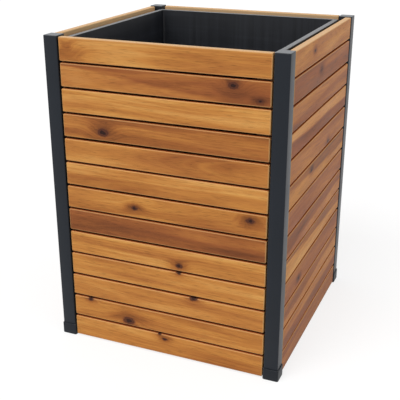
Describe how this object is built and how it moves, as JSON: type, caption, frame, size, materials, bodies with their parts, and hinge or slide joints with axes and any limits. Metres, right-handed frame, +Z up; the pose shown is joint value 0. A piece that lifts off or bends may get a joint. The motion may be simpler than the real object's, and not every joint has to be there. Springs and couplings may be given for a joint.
{
  "type": "wooden plant pot",
  "caption": "Square garden planter with slatted hardwood walls between steel corner posts, and a plastic liner that lifts out.",
  "frame": {"origin": "on the ground, under the middle of the planter", "axes": "+Z up, the front wall faces -Y, the right wall faces +X"},
  "size_m": [0.5036, 0.5036, 0.663],
  "materials": {
    "coated_steel": "anthracite powder coat, fine texture, satin",
    "moulded_plastic": "moulded, matte",
    "oiled_slats": "planed hardwood, oiled, satin",
    "bare_wood": "sawn hardwood, unfinished",
    "liner_plastic": "moulded plastic, satin"
  },
  "bodies": {
    "frame": {"post_front_left": "coated_steel", "post_front_right": "coated_steel", "post_back_left": "coated_steel", "post_back_right": "coated_steel", "post_cap_front_left": "moulded_plastic", "post_cap_front_right": "moulded_plastic", "post_cap_back_left": "moulded_plastic", "post_cap_back_right": "moulded_plastic", "foot_front_left": "moulded_plastic", "foot_front_right": "moulded_plastic", "foot_back_left": "moulded_plastic", "foot_back_right": "moulded_plastic", "front_slat_01": "oiled_slats", "front_slat_02": "oiled_slats", "front_slat_03": "oiled_slats", "front_slat_04": "oiled_slats", "front_slat_05": "oiled_slats", "front_slat_06": "oiled_slats", "front_slat_07": "oiled_slats", "front_slat_08": "oiled_slats", "front_slat_09": "oiled_slats", "front_slat_10": "oiled_slats", "front_slat_11": "oiled_slats", "front_slat_12": "oiled_slats", "front_slat_13": "oiled_slats", "right_slat_01": "oiled_slats", "right_slat_02": "oiled_slats", "right_slat_03": "oiled_slats", "right_slat_04": "oiled_slats", "right_slat_05": "oiled_slats", "right_slat_06": "oiled_slats", "right_slat_07": "oiled_slats", "right_slat_08": "oiled_slats", "right_slat_09": "oiled_slats", "right_slat_10": "oiled_slats", "right_slat_11": "oiled_slats", "right_slat_12": "oiled_slats", "right_slat_13": "oiled_slats", "front_batten_left": "bare_wood", "front_batten_middle": "bare_wood", "front_batten_right": "bare_wood", "right_batten_front": "bare_wood", "right_batten_middle": "bare_wood", "right_batten_back": "bare_wood", "back_panel": "oiled_slats", "left_panel": "oiled_slats", "base_rail_front": "coated_steel", "base_rail_back": "coated_steel", "base_rail_left": "coated_steel", "base_rail_right": "coated_steel", "base_board_1": "bare_wood", "base_board_2": "bare_wood", "base_board_3": "bare_wood", "base_board_4": "bare_wood", "base_board_5": "bare_wood"},
    "liner": {"liner": "liner_plastic"}
  },
  "joints": [
    {"name": "liner_lift", "type": "slide", "parent": "frame", "child": "liner", "axis": [0, 0, 1], "range_m": [0, 0.62]}
  ]
}
